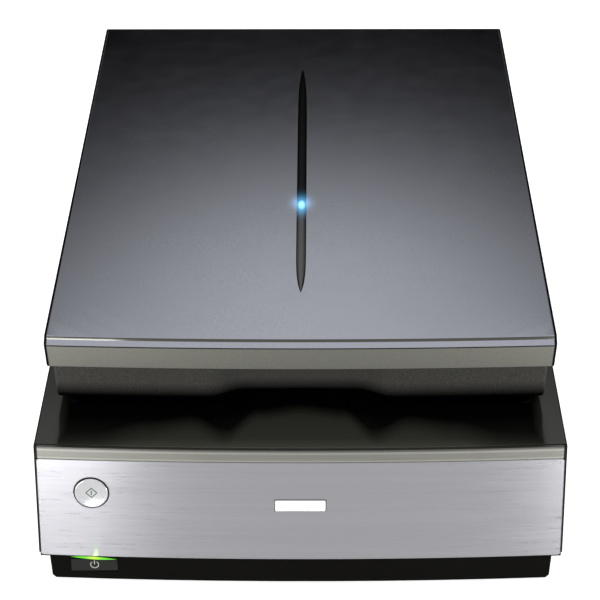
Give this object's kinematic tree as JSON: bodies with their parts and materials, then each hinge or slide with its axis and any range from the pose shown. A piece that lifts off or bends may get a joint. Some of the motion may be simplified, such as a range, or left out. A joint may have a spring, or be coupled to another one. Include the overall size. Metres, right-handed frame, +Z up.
{
  "type": "flatbed film scanner",
  "caption": "Flatbed photo and film scanner with a brushed front panel, a lifting hinged lamp lid, buttons and a full scanning drive inside.",
  "frame": {"origin": "middle of the footprint at the underside of the rubber feet", "axes": "+X to the right seen from the front, +Y towards the hinges at the rear, +Z up"},
  "size_m": [0.308, 0.503, 0.152],
  "materials": {
    "black_plastic": "fine textured",
    "deck_plastic": "semi gloss, fine grain",
    "trim_plastic": "satin",
    "brushed_panel": "silver, finely brushed along its length",
    "bright_metal": "bright satin",
    "glass": "clear, polished",
    "white_film": "plain white",
    "rubber": "matte",
    "steel": "zinc plated",
    "motor_can": "satin",
    "belt_rubber": "matte",
    "circuit_board": "solder resist",
    "green_light": "glowing light guide",
    "cable_film": "smooth film",
    "silver_button": "silver paint, dished",
    "grey_button": "satin",
    "brass": "machined",
    "natural_plastic": "smooth moulded",
    "lamp_glass": "white coated tube",
    "mirror": "front silvered",
    "lens_body": "satin black",
    "lid_paint": "dark metallic, satin",
    "smoked_window": "polished",
    "blue_light": "glowing",
    "diffuser": "translucent, satin",
    "white_plastic": "smooth moulded",
    "mat_plastic": "smooth, plain white face"
  },
  "bodies": {
    "base": {"base_lower_case": "black_plastic", "base_upper_case": "deck_plastic", "front_trim": "trim_plastic", "front_panel": "brushed_panel", "nameplate_blank": "bright_metal", "platen_glass": "glass", "calibration_strip": "white_film", "rubber_feet": "rubber", "carriage_rod": "steel", "rod_clips": "steel", "motor_bracket": "steel", "scan_motor": "motor_can", "drive_belt": "belt_rubber", "idler_bracket": "steel", "main_board": "circuit_board", "power_supply": "circuit_board", "power_inlet": "black_plastic", "usb_socket": "bright_metal", "lid_cable_socket": "black_plastic", "button_board": "circuit_board", "status_light_bar": "green_light", "case_screws": "steel", "hinge_sockets": "black_plastic", "ribbon_cable": "cable_film"},
    "lock": {"transport_lock": "trim_plastic"},
    "start_key": {"start_button": "silver_button"},
    "power_key": {"power_button": "grey_button"},
    "pinion": {"motor_pinion": "brass"},
    "gear": {"drive_gear": "natural_plastic"},
    "idler": {"idler_pulley": "natural_plastic"},
    "carriage": {"carriage_frame": "black_plastic", "carriage_bushes": "brass", "carriage_glide": "natural_plastic", "carriage_lamp": "lamp_glass", "fold_mirrors": "mirror", "film_lens": "lens_body", "document_lens": "lens_body", "sensor_board": "circuit_board", "belt_clamp": "black_plastic"},
    "posts": {"hinge_post_left": "black_plastic", "hinge_post_right": "black_plastic"},
    "lid": {"lid_top_cover": "lid_paint", "lid_lower_case": "black_plastic", "finger_grip": "black_plastic", "lid_window": "smoked_window", "lid_light": "blue_light", "hinge_leaf_left": "steel", "hinge_leaf_right": "steel", "hinge_pins": "steel", "film_window": "diffuser", "lid_bumpers": "rubber", "lid_screws": "steel", "lid_lamp_rod": "steel", "lid_motor": "motor_can", "lid_belt": "belt_rubber"},
    "lid_motor_wheel": {"lid_motor_pulley": "natural_plastic"},
    "lid_idler_wheel": {"lid_idler": "natural_plastic"},
    "film_lamp": {"film_lamp_carriage": "white_plastic", "film_lamp_tubes": "lamp_glass"},
    "mat": {"document_mat": "mat_plastic"}
  },
  "joints": [
    {"name": "lock_slide", "type": "slide", "parent": "base", "child": "lock", "axis": [0, 0, 1], "range_m": [0, 0.008]},
    {"name": "start_press", "type": "slide", "parent": "base", "child": "start_key", "axis": [0, 0.9905, -0.1374], "range_m": [0, 0.0015], "stiffness_N_per_m": 600, "springref_m": -0.001},
    {"name": "power_press", "type": "slide", "parent": "base", "child": "power_key", "axis": [0, 1, 0], "range_m": [0, 0.001], "stiffness_N_per_m": 600, "springref_m": -0.001},
    {"name": "carriage_slide", "type": "slide", "parent": "base", "child": "carriage", "axis": [0, -1, 0], "range_m": [0, 0.307]},
    {"name": "gear_turn", "type": "hinge", "parent": "base", "child": "gear", "pos_m": [-0.078, 0.213, 0.0145], "axis": [0, 0, -1], "range_deg": [0, 2464]},
    {"name": "idler_turn", "type": "hinge", "parent": "base", "child": "idler", "pos_m": [-0.078, -0.199, 0.0215], "axis": [0, 0, -1], "range_deg": [0, 2464]},
    {"name": "pinion_turn", "type": "hinge", "parent": "base", "child": "pinion", "pos_m": [-0.06199, 0.2275, 0.0145], "axis": [0, 0, -1], "range_deg": [-12316, 0]},
    {"name": "hinge_lift", "type": "slide", "parent": "base", "child": "posts", "axis": [0, 0, 1], "range_m": [0, 0.018]},
    {"name": "lid_hinge", "type": "hinge", "parent": "posts", "child": "lid", "pos_m": [0, 0.2225, 0.106], "axis": [-1, 0, 0], "range_deg": [0, 85]},
    {"name": "film_lamp_slide", "type": "slide", "parent": "lid", "child": "film_lamp", "axis": [0, -1, 0], "range_m": [0, 0.271]},
    {"name": "lid_motor_turn", "type": "hinge", "parent": "lid", "child": "lid_motor_wheel", "pos_m": [0.06, 0.21, 0.13], "axis": [0, 0, 1], "range_deg": [-2698, 0]},
    {"name": "lid_idler_turn", "type": "hinge", "parent": "lid", "child": "lid_idler_wheel", "pos_m": [0.06, -0.155, 0.13], "axis": [0, 0, 1], "range_deg": [-2698, 0]},
    {"name": "mat_slide", "type": "slide", "parent": "lid", "child": "mat", "axis": [0, -1, 0], "range_m": [0, 0.009]}
  ],
  "couplings": [
    {"joint": "gear_turn", "follows": "carriage_slide", "rad_per_m": 138.89},
    {"joint": "idler_turn", "follows": "carriage_slide", "rad_per_m": 138.89},
    {"joint": "pinion_turn", "follows": "carriage_slide", "rad_per_m": -694.44},
    {"joint": "lid_motor_turn", "follows": "film_lamp_slide", "rad_per_m": -172.41},
    {"joint": "lid_idler_turn", "follows": "film_lamp_slide", "rad_per_m": -172.41}
  ]
}
